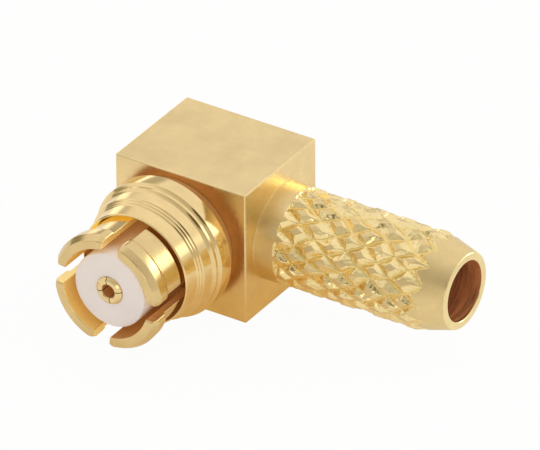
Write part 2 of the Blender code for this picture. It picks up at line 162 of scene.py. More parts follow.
def slit_ring(name, profile, first_turn, half_gap, rows, outline_at=as_cut):
    """Four closed prongs round the socket's axis, parted by slits with parallel walls."""
    outline = rounded(profile)
    count = len(outline)
    verts = []
    faces = []
    for prong in range(4):
        start = first_turn + prong * pi / 2
        base = len(verts)
        for row in range(rows + 1):
            for x, radius in outline:
                inset = asin(half_gap / radius)
                low = start + inset
                high = start + pi / 2 - inset
                cut_x, cut_radius = outline_at(x, radius, min(row, rows - row))
                verts.append(socket_point(cut_radius, low + (high - low) * row / rows, cut_x))
        for row in range(rows):
            for index in range(count):
                following = (index + 1) % count
                faces.append((base + row * count + index, base + row * count + following,
                              base + (row + 1) * count + following,
                              base + (row + 1) * count + index))
        faces.append(tuple(range(base, base + count))[::-1])
        top = base + rows * count
        faces.append(tuple(range(top, top + count)))
    return mesh_object(name, verts, faces)


# Collar, measured from the block's front face
COLLAR_RIM = -collar_low.y
REAR_RING_RADIUS = collar_high.z - AXIS_HEIGHT
COLLAR_BORE_RADIUS = 1.61
COLLAR_STEP = 0.03      # narrower bore behind the spring sleeve
LIP_RADIUS = 1.655
LIP_FLAT = 0.02
LIP_CHAMFER = 0.035
LIP_BORE_FILLET = 0.012
LIP_FRONT_FILLET = 0.01
LIP_BACK_FILLET = 0.02
NOSE_REAR_RADIUS = 1.70
NOSE_LENGTH = 0.435
MIDDLE_FRONT_RADIUS = 1.815
MIDDLE_REAR_RADIUS = 1.86
MIDDLE_RING_LENGTH = 0.30
FRONT_GROOVES = (3, 0.043, 0.002, 0.0355)   # count, width, depth and ridge between two
REAR_GROOVES = (2, 0.088, 0.004, 0.079)
FRONT_GROOVE_FILLET = 0.008
REAR_GROOVE_FILLET = 0.012
REAR_RING_LENGTH = 0.455
RING_FILLET = 0.03
NECK_DEPTH = 0.22
NECK_FILLET = 0.02
COLLAR_SEAT_GAP = 0.01
COLLAR_FLOOR = 0.55
BRIGHT_DEPTH = 0.06     # bore left without painted shade, from the rim
LIT_DEPTH = 0.45        # bore that the fingers light, from the rim


def row_length(count, width, depth, ridge):
    return count * width + (count - 1) * ridge


def grooves(front, back, count, width, depth, ridge, fillet):
    """Row of rising rounded grooves between two (distance, radius) edges, with level ridges."""
    rise = (back[1] - front[1]) / count
    corners = []
    for index in range(count):
        lip = front[0] - index * (width + ridge)
        for step in range(GROOVE_STEPS + 1):
            share = step / GROOVE_STEPS
            drop = depth * (1 - cos(2 * pi * share)) / 2
            on_lip = step in (0, GROOVE_STEPS)
            corners.append((lip - width * share, front[1] + rise * (index + share) - drop,
                            fillet if on_lip else SHARP))
    return corners


def make_collar():
    nose_rear = COLLAR_RIM - NOSE_LENGTH
    middle_front = nose_rear - row_length(*FRONT_GROOVES)
    middle_rear = middle_front - MIDDLE_RING_LENGTH
    rear_front = middle_rear - row_length(*REAR_GROOVES)
    rear_rear = rear_front - REAR_RING_LENGTH
    neck = REAR_RING_RADIUS - NECK_DEPTH
    seat = FRONT_FACE + COLLAR_SEAT_GAP
    floor = FRONT_FACE + COLLAR_FLOOR
    profile = [
        (COLLAR_RIM, COLLAR_BORE_RADIUS, LIP_BORE_FILLET),
        (COLLAR_RIM, COLLAR_BORE_RADIUS + LIP_FLAT, LIP_FRONT_FILLET),
        (COLLAR_RIM - LIP_CHAMFER, LIP_RADIUS, LIP_BACK_FILLET),
    ]
    profile += grooves((nose_rear, NOSE_REAR_RADIUS), (middle_front, MIDDLE_FRONT_RADIUS),
                       *FRONT_GROOVES, FRONT_GROOVE_FILLET)
    profile += grooves((middle_rear, MIDDLE_REAR_RADIUS), (rear_front, REAR_RING_RADIUS),
                       *REAR_GROOVES, REAR_GROOVE_FILLET)
    profile[-1] = (rear_front, REAR_RING_RADIUS, RING_FILLET)
    profile += [
        (rear_rear, REAR_RING_RADIUS, RING_FILLET),
        (rear_rear, neck, NECK_FILLET),
        (seat, neck, SHARP),
        (seat, COLLAR_BORE_RADIUS - COLLAR_STEP, SHARP),
        (floor, COLLAR_BORE_RADIUS - COLLAR_STEP, SHARP),
        (floor, COLLAR_BORE_RADIUS, SHARP),
        (COLLAR_RIM - LIT_DEPTH, COLLAR_BORE_RADIUS, SHARP),
        (COLLAR_RIM - BRIGHT_DEPTH, COLLAR_BORE_RADIUS, SHARP),
    ]
    return turned("turned_collar", profile)


# Spring fingers
FINGER_TIP = -contact_low.y
CREST_RADIUS = contact_high.z - AXIS_HEIGHT
BARREL_RADIUS = 1.535
FINGER_BORE = 1.33
TIP_HEIGHT = 0.045          # tip over the barrel
LEAD_IN = 0.20
CREST_END = 0.50            # from the tip
CREST_FALL = 0.015
SHOULDER_TOP = 0.62         # from the tip
SHOULDER_FOOT = 0.63
SHOULDER_HEIGHT = 0.12      # over the barrel
LEAD_IN_FILLET = 0.06
CREST_FILLET = 0.03
SLOT_WIDTH = 0.51
SLOT_TURN = radians(-6)
SLOT_START = FRONT_FACE + 0.95
FINGER_ROWS = 24
FINGER_ROUNDING = 0.045
ROUNDING_STEPS = 3
ROUNDED_FROM = radians(45)
CORNER_WEAR = {0: 0.65, 1: 0.2}   # share by rows from a slot
CORNER_SETBACK = 0.06
RING_EDGE_FILLET = 0.01
RING_SEAT_GAP = 0.01


def worn_corner(x, radius, rows_in):
    """Outline of a finger with its corners beside the slots worn towards the barrel."""
    wear = CORNER_WEAR.get(rows_in, 0)
    return (min(x, FINGER_TIP - CORNER_SETBACK * wear),
            radius - wear * max(0.0, radius - BARREL_RADIUS))


def make_fingers():
    """Four flared fingers with deburred edges."""
    profile = [
        (FINGER_TIP, FINGER_BORE, SHARP),
        (FINGER_TIP, BARREL_RADIUS + TIP_HEIGHT, SHARP),
        (FINGER_TIP - LEAD_IN, CREST_RADIUS, LEAD_IN_FILLET),
        (FINGER_TIP - CREST_END, CREST_RADIUS - CREST_FALL, CREST_FILLET),
        (FINGER_TIP - SHOULDER_TOP, BARREL_RADIUS + SHOULDER_HEIGHT, SHARP),
        (FINGER_TIP - SHOULDER_FOOT, BARREL_RADIUS, SHARP),
        (SLOT_START, BARREL_RADIUS, SHARP),
        (SLOT_START, FINGER_BORE, SHARP),
    ]
    item = slit_ring("spring_fingers", profile, SLOT_TURN, SLOT_WIDTH / 2, FINGER_ROWS,
                     worn_corner)
    bevel = item.modifiers.new("deburred_edges", "BEVEL")
    bevel.width = FINGER_ROUNDING * MM
    bevel.segments = ROUNDING_STEPS
    bevel.limit_method = "ANGLE"
    bevel.angle_limit = ROUNDED_FROM
    bevel.harden_normals = True
    return item


def make_contact_ring():
    """Unslotted root of the spring sleeve, deep in the collar."""
    root = FRONT_FACE + COLLAR_FLOOR + RING_SEAT_GAP
    profile = [
        (SLOT_START, FINGER_BORE, RING_EDGE_FILLET),
        (SLOT_START, BARREL_RADIUS, RING_EDGE_FILLET),
        (root, BARREL_RADIUS, SHARP),
        (root, FINGER_BORE, SHARP),
    ]
    return turned("contact_ring", profile)


# Insulator and centre contact
PIN_TIP = -pin_low.y
PIN_BORE = 0.195
PIN_RADIUS = 0.405
PIN_CLEARANCE = 0.002
PIN_ROWS = 10
PIN_TURN = radians(10)
PIN_SLIT_HALF = 0.012
PRONG_LENGTH = 1.1
PIN_BORE_DEPTH = 1.5
MOUTH_DEPTH = 0.03
MOUTH_WIDTH = 0.025
RIM_WIDTH = 0.085           # of the bevel outside the pin's flat front
RIM_DEPTH = 0.06
MOUTH_FILLET = 0.01
FRONT_FILLET = 0.012
RIM_FILLET = 0.03
FLANGE_GAP = 0.01
FLANGE_LENGTH = 0.2
FLANGE_HEIGHT = 0.2
SHANK_FILLET = 0.02
HOLE_FILLET = 0.015
INSULATOR_FRONT_FILLET = 0.035
INSULATOR_BACK_FILLET = 0.02


def make_insulator():
    front = -insulator_low.y
    back = -insulator_high.y
    radius = insulator_high.z - AXIS_HEIGHT
    hole = PIN_RADIUS + PIN_CLEARANCE
    profile = [
        (front, hole, HOLE_FILLET),
        (front, radius, INSULATOR_FRONT_FILLET),
        (back, radius, INSULATOR_BACK_FILLET),
        (back, hole, SHARP),
    ]
    return turned("fluoropolymer_sleeve", profile)


def make_pin():
    """Slit contact: four thin prongs with a rounded rim."""
    root = PIN_TIP - PRONG_LENGTH
    profile = [
        (PIN_TIP - MOUTH_DEPTH, PIN_BORE, MOUTH_FILLET),
        (PIN_TIP, PIN_BORE + MOUTH_WIDTH, FRONT_FILLET),
        (PIN_TIP, PIN_RADIUS - RIM_WIDTH, RIM_FILLET),
        (PIN_TIP - RIM_DEPTH, PIN_RADIUS, RIM_FILLET),
        (root, PIN_RADIUS, SHARP),
        (root, PIN_BORE, SHARP),
    ]
    return slit_ring("slit_pin", profile, PIN_TURN, PIN_SLIT_HALF, PIN_ROWS)


def make_pin_shank():
    """Plain shank behind the prongs, with the bore's floor, the flange and the tail."""
    root = PIN_TIP - PRONG_LENGTH
    floor = PIN_TIP - PIN_BORE_DEPTH
    back = -pin_high.y
    flange = -insulator_high.y - FLANGE_GAP
    profile = [
        (floor, ON_AXIS, SHARP),
        (floor, PIN_BORE, SHARP),
        (root, PIN_BORE, SHARP),
        (root, PIN_RADIUS, SHARP),
        (flange, PIN_RADIUS, SHARP),
        (flange, PIN_RADIUS + FLANGE_HEIGHT, SHANK_FILLET),
        (flange - FLANGE_LENGTH, PIN_RADIUS + FLANGE_HEIGHT, SHANK_FILLET),
        (flange - FLANGE_LENGTH, PIN_RADIUS, SHARP),
        (back, PIN_RADIUS, SHANK_FILLET),
        (back, ON_AXIS, SHARP),
    ]
    return turned("pin_shank", profile, SHANK_SEGMENTS)


# Rear cap
CAP_TAPER = 0.02
CAP_FRONT_FILLET = 0.02
CAP_BACK_FILLET = 0.05


def make_cap():
    radius = cap_high.z - AXIS_HEIGHT
    back = -cap_high.y
    front = -cap_low.y
    profile = [
        (front, ON_AXIS, SHARP),
        (front, radius, CAP_FRONT_FILLET),
        (back, radius - CAP_TAPER, CAP_BACK_FILLET),
        (back, ON_AXIS, SHARP),
    ]
    return turned("turned_cap", profile, CAP_SEGMENTS)


# Crimp stem, measured from the block's right face
STEM_END = stem_high.x
STEM_RADIUS = 1.375
STEM_END_RADIUS = 1.075
STEM_BORE = 0.857
STEM_SEAT_GAP = 0.0005
SPIGOT_STEP = 0.27
BEAD_HEIGHT = 0.011         # of the fine line where the stem meets the block
BEAD_LENGTH = 0.028
BEAD_FOOT = 0.001
BEAD_END = 0.036
TAPER_START = STEM_END - 1.05
TAPER_SLOPE = (STEM_RADIUS - STEM_END_RADIUS) / (STEM_END - TAPER_START)
STEM_END_FILLET = 0.06
STEM_MOUTH_FILLET = 0.04
FINE_BORE_DEPTH = 0.5

# Knurl, with shares of its depth for heights and cells of its pattern for lengths
KNURL_START = RIGHT_FACE + 0.60
KNURL_END = TAPER_START + 0.50
KNURL_STARTS = 14
KNURL_PITCH = 1.0
KNURL_DEPTH = 0.135
KNURL_TURN = 1.07
KNURL_COLUMNS = 28 * 15
KNURL_CELL = 0.0235         # of the mesh along the stem
KNURL_LEAD = 0.06           # plain rows of the mesh before the knurl
KNURL_RUN_IN = 0.05
PEAK_RISE = 0.012
RUN_IN_RISE = 0.02
# Height given to the plain rows, above the painted valley shade
UNSHADED_HEIGHT = 0.6
WANDER = 0.42               # of the rolled lines from their even places
WANDER_SCALE = (0.7, 0.5)
SWAY_SHIFT = 9
APEX_SPREAD = 0.28
UNEVEN_CELLS = 97
VALLEY = 0.04
FULL_HEIGHT = 0.66
LOWEST_TOP = 0.85
TOP_SPREAD = 0.6
TOP_SLOPE = 0.15
FLOOR_HEIGHT = 0.01
FLOOR_SPREAD = 0.04
FLOOR_SCALE = (3, 2)
DENTS = ((0.07, 5, 4, 6), (0.045, 10, 7, 7))   # height, scale along and around, seed
WANDER_SEED = 3
SWAY_SEED = 4
CELL_SEED = 5
FLOOR_SEED = 8
NOISE_CELLS = 64


def smooth_noise(x, y, seed, wrap):
    """Value noise on a unit grid that repeats after wrap cells in y."""
    table = np.random.default_rng(seed).uniform(-1, 1, (NOISE_CELLS, wrap))
    xi = np.floor(x).astype(int)
    yi = np.floor(y).astype(int)
    xf = x - xi
    yf = y - yi
    xf = xf * xf * (3 - 2 * xf)
    yf = yf * yf * (3 - 2 * yf)
    a = table[xi % NOISE_CELLS, yi % wrap]
    b = table[(xi + 1) % NOISE_CELLS, yi % wrap]
    c = table[xi % NOISE_CELLS, (yi + 1) % wrap]
    d = table[(xi + 1) % NOISE_CELLS, (yi + 1) % wrap]
    return (a * (1 - xf) + b * xf) * (1 - yf) + (c * (1 - xf) + d * xf) * yf


def tooth(share, apex):
    """Height along one cell, 0 at both ends and 1 at the apex."""
    return np.minimum(share / apex, (1 - share) / (1 - apex))


def knurl_height(distance, angle):
    """Height of the knurled skin, 0 in the valleys to 1 on the peaks, unevenly rolled."""
    columns = 2 * KNURL_STARTS
    along = (distance - (KNURL_START + KNURL_RUN_IN)) / (KNURL_PITCH / 2)
    around = angle / (2 * pi) * columns + KNURL_TURN
    slow_along = along * WANDER_SCALE[0]
    slow_around = around * WANDER_SCALE[1]
    wander = smooth_noise(slow_along, slow_around, WANDER_SEED, columns // 2) * WANDER
    sway = smooth_noise(slow_along + SWAY_SHIFT, slow_around, SWAY_SEED, columns // 2) * WANDER
    u = (around + along) / 2 + wander / 2
    v = (around - along) / 2 + sway / 2
    cell = np.random.default_rng(CELL_SEED).uniform(0, 1, (3, UNEVEN_CELLS, KNURL_STARTS))
    column = np.floor(v).astype(int)
    row = (np.floor(u).astype(int) - column) % UNEVEN_CELLS
    column %= KNURL_STARTS
    apex_u, apex_v = 0.5 + APEX_SPREAD * (cell[:2, row, column] - 0.5)
    flanks = np.minimum(tooth(u - np.floor(u), apex_u), tooth(v - np.floor(v), apex_v))
    height = (flanks - VALLEY) / FULL_HEIGHT
    ceiling = LOWEST_TOP + TOP_SPREAD * cell[2, row, column]
    height = np.minimum(height, ceiling + (height - ceiling) * TOP_SLOPE)
    floor = FLOOR_HEIGHT + FLOOR_SPREAD * smooth_noise(
        along * FLOOR_SCALE[0], around * FLOOR_SCALE[1], FLOOR_SEED, columns * FLOOR_SCALE[1])
    height = np.maximum(height, floor)
    for dent, scale_along, scale_around, seed in DENTS:
        height += dent * smooth_noise(along * scale_along, around * scale_around, seed,
                                      columns * scale_around)
    return height


def stem_taper(x):
    """Radius of the plain stem and its taper."""
    return min(STEM_RADIUS, STEM_RADIUS - (x - TAPER_START) * TAPER_SLOPE)


def make_stem():
    """Tube with a plain root, the knurl as a fine displaced skin, a plain taper and the bore."""
    angles = 2 * pi * np.arange(KNURL_COLUMNS) / KNURL_COLUMNS
    seat = RIGHT_FACE + STEM_SEAT_GAP
    spigot = STEM_RADIUS - SPIGOT_STEP
    head = [(stem_low.x, STEM_BORE), (stem_low.x, spigot), (seat, spigot),
            (seat, STEM_RADIUS + BEAD_HEIGHT), (seat + BEAD_LENGTH, STEM_RADIUS + BEAD_FOOT),
            (seat + BEAD_END, STEM_RADIUS)]
    nose = rounded([
        (KNURL_END, stem_taper(KNURL_END), SHARP),
        (STEM_END, STEM_END_RADIUS, STEM_END_FILLET),
        (STEM_END, STEM_BORE, STEM_MOUTH_FILLET),
        (STEM_END - FINE_BORE_DEPTH, STEM_BORE, SHARP),
        (stem_low.x, STEM_BORE, SHARP),
    ])[1:-1]
    unshaded = np.full(KNURL_COLUMNS, UNSHADED_HEIGHT)
    rows = [(x, np.full(KNURL_COLUMNS, radius), unshaded) for x, radius in head]
    for x in np.arange(KNURL_START - KNURL_LEAD, KNURL_END, KNURL_CELL):
        radius = stem_taper(x)
        skin = np.full(KNURL_COLUMNS, radius)
        shade_height = unshaded
        if x > KNURL_START:
            run_in = min(1.0, (x - KNURL_START) / KNURL_RUN_IN)
            height = np.clip(knurl_height(np.full(KNURL_COLUMNS, x), angles), 0, 1)
            drop = KNURL_DEPTH * (1 - height) - PEAK_RISE
            knurl = STEM_RADIUS + RUN_IN_RISE - (drop + RUN_IN_RISE) * run_in
            skin = np.minimum(skin, knurl)
            shade_height = np.where(knurl < radius, height, unshaded)
        rows.append((x, skin, shade_height))
    rows += [(x, np.full(KNURL_COLUMNS, radius), unshaded) for x, radius in nose]
    verts = np.concatenate([
        np.stack((np.full(KNURL_COLUMNS, x), -radius * np.cos(angles),
                  AXIS_HEIGHT + radius * np.sin(angles)), axis=1) for x, radius, _ in rows])
    item = mesh_object("knurled_stem", verts, closed_grid(len(rows), KNURL_COLUMNS),
                       KNURL_SMOOTH_ANGLE)
    # Knurl height per point, which sets the painted shade and glow in the valleys
    attribute = item.data.attributes.new("shade_height", "FLOAT", "POINT")
    attribute.data.foreach_set("value", np.concatenate([shade_height for _, _, shade_height in rows]))
    return item


# Faces with a second material, a plain finish or painted shade and light: each test takes a face's
# centre, in millimetres, and its normal
SKIN = 0.004                # reach of a surface's own faces
PIN_SKIN = 0.005
RING_BACK = 0.02            # below the rear ring's radius
NECK_REACH = 0.40           # in front of the block
LIT_RIGHT = 0.1             # right end of the lip's lit part
LIT_LOW = 0.4               # its low end, over the axis
INWARDS = 0.2
FACING_ENDS = 0.5


def paint(item, material, test):
    """Second material on the faces that pass a test."""
    item.data.materials.append(material)
    slot = len(item.data.materials) - 1
    for face in item.data.polygons:
        if test(face.center / MM, face.normal):
            face.material_index = slot


def from_stem_axis(point):
    return sqrt(point.y ** 2 + (point.z - AXIS_HEIGHT) ** 2)


def from_socket_axis(point):
    return sqrt(point.x ** 2 + (point.z - AXIS_HEIGHT) ** 2)


def on_plain_stem(point, normal):
    """Plain root and taper, between the peaks of the knurl too."""
    return point.x < KNURL_START or from_stem_axis(point) > stem_taper(point.x) - SKIN


def in_stem_bore(point, normal):
    return from_stem_axis(point) < STEM_BORE + SKIN


def in_collar_gaps(point, normal):
    """Deep part of the bore, the neck behind the rear ring and that ring's back, which take painted
    shade.
    """
    radius = from_socket_axis(point)
    deep = radius < COLLAR_BORE_RADIUS + SKIN and point.y > collar_low.y + BRIGHT_DEPTH
    behind = radius < REAR_RING_RADIUS - RING_BACK and point.y > block_low.y - NECK_REACH
    return deep or behind


def in_lit_lip(point, normal):
    """Upper left part of the collar's bore, which the finger below it lights."""
    in_bore = from_socket_axis(point) < COLLAR_BORE_RADIUS + SKIN
    upper_left = point.x < LIT_RIGHT and point.z > AXIS_HEIGHT + LIT_LOW
    return in_bore and upper_left and point.y < collar_low.y + LIT_DEPTH


def in_pin_bore(point, normal):
    return from_socket_axis(point) < PIN_BORE + PIN_SKIN


def faces_inwards(point, normal):
    """Bore of the fingers and the walls of the slots between them, which take a painted glow."""
    outward = normal.x * point.x + normal.z * (point.z - AXIS_HEIGHT)
    return outward < INWARDS and abs(normal.y) < FACING_ENDS


def faces_in_shade(point, normal):
    """The same on the lower right finger, which faces away from the eye."""
    return faces_inwards(point, normal) and point.x > 0 and point.z < AXIS_HEIGHT


# Materials
EVEN = (1, 1, 1)
RELIEF = 0.01               # depth of the marks, in millimetres
GLOSS_SPREAD = 0.15         # share by which the marks change the roughness
INSULATOR_SKIN = 0.05       # depth at which the insulator starts to take warm light


def new_material(name):
    """Material with its nodes, links and shader."""
    material = bpy.data.materials.new(name)
    material.use_nodes = True
    nodes = material.node_tree.nodes
    return material, nodes, material.node_tree.links, nodes["Principled BSDF"]


def object_place(nodes, links, scale):
    """Object coordinates in millimetres, times a scale."""
    place = nodes.new("ShaderNodeTexCoord")
    stretch = nodes.new("ShaderNodeMapping")
    stretch.inputs["Scale"].default_value = [share / MM for share in scale]
    links.new(place.outputs["Object"], stretch.inputs["Vector"])
    return stretch.outputs["Vector"]


def noise(nodes, links, vector, scale, detail, roughness=0.5):
    texture = nodes.new("ShaderNodeTexNoise")
    texture.inputs["Scale"].default_value = scale
    texture.inputs["Detail"].default_value = detail
    texture.inputs["Roughness"].default_value = roughness
    links.new(vector, texture.inputs["Vector"])
    return texture.outputs["Fac"]


def ramp(nodes, links, value, *stops):
    """Colour by a value, from two (position, colour) stops."""
    node = nodes.new("ShaderNodeValToRGB")
    for element, (position, colour) in zip(node.color_ramp.elements, stops):
        element.position = position
        element.color = (*colour, 1)
    links.new(value, node.inputs["Fac"])
    return node.outputs["Color"]


def smooth_step(nodes, links, value, low, high):
    """Smooth rise from 0 to 1 between two values."""
    fade = nodes.new("ShaderNodeMapRange")
    fade.interpolation_type = "SMOOTHSTEP"
    fade.inputs["From Min"].default_value = low
    fade.inputs["From Max"].default_value = high
    links.new(value, fade.inputs["Value"])
    return fade.outputs["Result"]


def colour_mix(nodes, blend="MIX"):
    mix = nodes.new("ShaderNodeMix")
    mix.data_type = "RGBA"
    mix.blend_type = blend
    return mix


def add_relief(nodes, links, shader, height, strength):
    relief = nodes.new("ShaderNodeBump")
    relief.inputs["Strength"].default_value = strength
    relief.inputs["Distance"].default_value = RELIEF * MM
    links.new(height, relief.inputs["Height"])
    links.new(relief.outputs["Normal"], shader.inputs["Normal"])


def gold(name, colour, roughness, mottle, grain, bump, scale=EVEN, contrast=(0.93, 1.05),
         streaked=False):
    """Gold plating with faint uneven colour, uneven gloss and fine machining marks.

    The colour varies in clouds, or with the marks where it is streaked.
    """
    material, nodes, links, shader = new_material(name)
    shader.inputs["Metallic"].default_value = 1.0
    marks = noise(nodes, links, object_place(nodes, links, scale), grain, 3.0)
    clouds = noise(nodes, links, object_place(nodes, links, EVEN), mottle, 6.0, 0.6)
    dark = [share * contrast[0] for share in colour]
    light = [min(1.0, share * contrast[1]) for share in colour]
    tint = ramp(nodes, links, marks if streaked else clouds, (0.35, dark), (0.65, light))
    links.new(tint, shader.inputs["Base Color"])
    gloss = nodes.new("ShaderNodeMapRange")
    gloss.inputs["From Min"].default_value = 0.3
    gloss.inputs["From Max"].default_value = 0.7
    gloss.inputs["To Min"].default_value = roughness * (1 - GLOSS_SPREAD)
    gloss.inputs["To Max"].default_value = roughness * (1 + GLOSS_SPREAD)
    links.new(marks, gloss.inputs["Value"])
    links.new(gloss.outputs["Result"], shader.inputs["Roughness"])
    add_relief(nodes, links, shader, marks, bump)
    return material


def inside_gold(name, metallic, glow, *finish, **marks):
    """Gold inside gaps and bores: partly metallic, with a faint painted glow that stands in for
    light from the many reflections.
    """
    material = gold(name, *finish, **marks)
    shader = material.node_tree.nodes["Principled BSDF"]
    shader.inputs["Metallic"].default_value = metallic
    shader.inputs["Emission Color"].default_value = (*glow, 1)
    shader.inputs["Emission Strength"].default_value = 1.0
    return material


def fluoropolymer(name, front, depth):
    """Off-white plastic with painted warm shade deeper in, standing for shade and gold light
    reflected onto it, and a faint painted glow.
    """
    material, nodes, links, shader = new_material(name)
    shader.inputs["Roughness"].default_value = 0.45
    place = object_place(nodes, links, EVEN)
    clouds = noise(nodes, links, place, 1.3, 5.0)
    tint = ramp(nodes, links, clouds, (0.3, (0.93, 0.86, 0.86)), (0.7, (0.97, 0.90, 0.91)))
    split = nodes.new("ShaderNodeSeparateXYZ")
    links.new(place, split.inputs[0])
    inward = smooth_step(nodes, links, split.outputs["Y"], -front + INSULATOR_SKIN, -front + depth)
    warm = colour_mix(nodes)
    warm.inputs["B"].default_value = (0.70, 0.45, 0.25, 1)
    links.new(inward, warm.inputs["Factor"])
    links.new(tint, warm.inputs["A"])
    links.new(warm.outputs["Result"], shader.inputs["Base Color"])
    links.new(warm.outputs["Result"], shader.inputs["Emission Color"])
    # Faint painted glow
    shader.inputs["Emission Strength"].default_value = 0.055
    add_relief(nodes, links, shader, clouds, 0.15)
    return material


def paint_valley_shade(material):
    """Painted shade in the valleys of the knurl, with a little painted glow in them."""
    nodes = material.node_tree.nodes
    links = material.node_tree.links
    shader = nodes["Principled BSDF"]
    plain = shader.inputs["Base Color"].links[0].from_socket
    reader = nodes.new("ShaderNodeAttribute")
    reader.attribute_name = "shade_height"
    shade_height = reader.outputs["Fac"]
    tint = ramp(nodes, links, shade_height, (0.0, (0.90, 0.82, 0.64)), (0.3, (1, 1, 1)))
    glow = ramp(nodes, links, shade_height, (0.0, (0.05, 0.045, 0.012)), (0.5, (0.01, 0.01, 0.003)))
    links.new(glow, shader.inputs["Emission Color"])
    shader.inputs["Emission Strength"].default_value = 1.0
    mix = colour_mix(nodes, "MULTIPLY")
    mix.inputs["Factor"].default_value = 1.0
    links.new(plain, mix.inputs["A"])
    links.new(tint, mix.inputs["B"])
    links.new(mix.outputs["Result"], shader.inputs["Base Color"])


# Colour, roughness, size of clouds, size of marks, strength of marks, stretch of marks
SATIN = gold("satin_block_gold", (0.87, 0.665, 0.34), 0.32, 1.1, 9, 0.25)
TURNED = gold("turned_bright_gold", (0.86, 0.64, 0.31), 0.13, 1.5, 5, 0.08, (0.4, 14, 0.4))
SPRING = gold("spring_gold", (0.76, 0.56, 0.265), 0.17, 1.5, 5, 0.10, (0.6, 8, 0.6))
CONTACT = gold("contact_pin_gold", (0.85, 0.65, 0.33), 0.22, 2.0, 6, 0.15)
KNURLED = gold("rolled_knurl_gold", (0.895, 0.705, 0.355), 0.20, 1.2, 8, 0.20)
PLAIN = gold("plain_stem_gold", (0.78, 0.59, 0.285), 0.38, 1.2, 8, 0.25, (6, 0.4, 0.4))
# The same after the share of metal and the painted glow; the dark colours here are painted shade,
# the bright ones painted light
# Painted shade with a faint painted glow, for the stem's bore
BORE = inside_gold("bore_painted_shade_gold", 0.35, (0.03, 0.01, 0.004), (0.46, 0.20, 0.08), 0.36,
                   1.5, 1.6, 0.4, (3, 0.5, 0.5), contrast=(0.40, 1.7), streaked=True)
# Painted shade with a faint painted glow, for the deep gaps and bores
DEEP = inside_gold("deep_gap_painted_shade_gold", 0.3, (0.09, 0.036, 0.008), (0.50, 0.25, 0.09), 0.45,
                   1.5, 7, 0.1)
LIT = inside_gold("lit_lip_gold", 0.6, (0.62, 0.44, 0.06), (0.87, 0.64, 0.24), 0.30,
                  1.5, 5, 0.05)
# Painted light: a glow on the fingers' bore and slot walls
INNER = inside_gold("finger_inside_painted_glow_gold", 0.75, (0.15, 0.095, 0.02), (0.92, 0.70, 0.30), 0.24,
                    1.2, 3, 0.02)
SHADED = inside_gold("finger_shade_gold", 0.8, (0.05, 0.022, 0.006), (0.68, 0.40, 0.18), 0.30,
                     1.2, 3, 0.05)
WHITE = fluoropolymer("white_fluoropolymer", -insulator_low.y, 0.7)
# Painted shade and glow in the knurl's valleys
paint_valley_shade(KNURLED)


def dress(item, material, slot, *nodes):
    item.data.materials.clear()
    item.data.materials.append(material)
    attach(item, "root")
    if nodes:
        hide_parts(*nodes)


collar = make_collar()
dress(collar, TURNED, "bright_gold", "grooved_collar")
# Painted shade in the collar's deep bore, its neck and the rear ring's back
paint(collar, DEEP, in_collar_gaps)
paint(collar, LIT, in_lit_lip)
fingers = make_fingers()
dress(fingers, SPRING, "bright_gold", "outer_contact")
# Painted glow on the fingers' bore and slot walls
paint(fingers, INNER, faces_inwards)
paint(fingers, SHADED, faces_in_shade)
# Painted shade on the sleeve's root deep in the collar
dress(make_contact_ring(), DEEP, "bright_gold", "outer_contact")
dress(make_insulator(), WHITE, "white_insulator", "front_insulator")
pin = make_pin()
dress(pin, CONTACT, "contact_gold", "center_contact")
# Painted shade in the pin's bore and on its shank
paint(pin, DEEP, in_pin_bore)
dress(make_pin_shank(), DEEP, "contact_gold", "center_contact")
stem = make_stem()
dress(stem, KNURLED, "knurl_gold", "crimp_stem")
paint(stem, PLAIN, on_plain_stem)
# Painted shade in the stem's bore
paint(stem, BORE, in_stem_bore)
dress(make_cap(), SATIN, "satin_gold", "rear_cap")
for name, material in (("body_block", SATIN), ("insulating_disc", WHITE)):
    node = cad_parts[name]
    node.data.materials.clear()
    node.data.materials.append(material)


# Camera, fitted to the photo: lengths in pixels of the picture
IMAGE_WIDTH = 540
SENSOR_WIDTH = 36
FOCAL_PIXELS = 11000
PIXELS_PER_MM = 37.2
AZIMUTH = radians(32.85)
ELEVATION = radians(31.65)
ROLL = radians(-0.33)
SHIFT_RIGHT = -53.74
SHIFT_UP = 15.4
NEAREST_SEEN = 0.01
FARTHEST_SEEN = 10

# Table, in metres where it isn't said otherwise
TABLE_HALF = 1.5
TABLE_DROP = 0.002          # millimetres below the part
PAPER = (0.86, 0.81, 0.72, 1)
NEAR_GLOW = (0.76, 0.54, 0.25, 1)   # gold light on the table close to the part
FAR_GLOW = (1.0, 1.0, 0.97, 1)
NEAR_REACH = 2.5            # millimetres from the origin
FAR_REACH = 8.0
GLOSSY_SHARE = 0.8          # of the glow in reflections
CAMERA_SHARE = 0.965        # of white to the camera, the rest takes the shadow

# Dome, and the bright and dark patches of the studio on it: direction, inner and outer angle,
# radiance
DOME_LOW = (0.80, 0.78, 0.72)
DOME_HIGH = (1.0, 1.0, 1.0)
DOME_RISE = 0.35
STUDIO_PATCHES = [
    ((0.25, -1.0, 0.35), 30, 75, (0.62, 0.61, 0.56)),
    ((0.46, -0.845, 0.24), 6, 13, (2.0, 1.9, 1.75)),
    ((0.46, -0.715, 0.525), 9, 15, (0.13, 0.11, 0.06)),
    ((-0.97, 0.20, 0.05), 12, 26, (0.35, 0.33, 0.24)),
    ((-0.62, 0.70, 0.35), 7, 15, (0.55, 0.53, 0.46)),
    ((-0.70, 0.71, 0.02), 7, 12, (1.7, 1.65, 1.5)),
    ((-0.78, 0.61, 0.12), 5, 11, (1.6, 1.55, 1.4)),
    ((0.62, 0.715, 0.29), 6, 12, (2.2, 2.15, 2.0)),
    ((0.74, 0.58, 0.34), 6, 12, (2.2, 2.15, 2.0)),
    ((0.40, 0.88, 0.26), 8, 14, (5.2, 6.0, 5.2)),
]


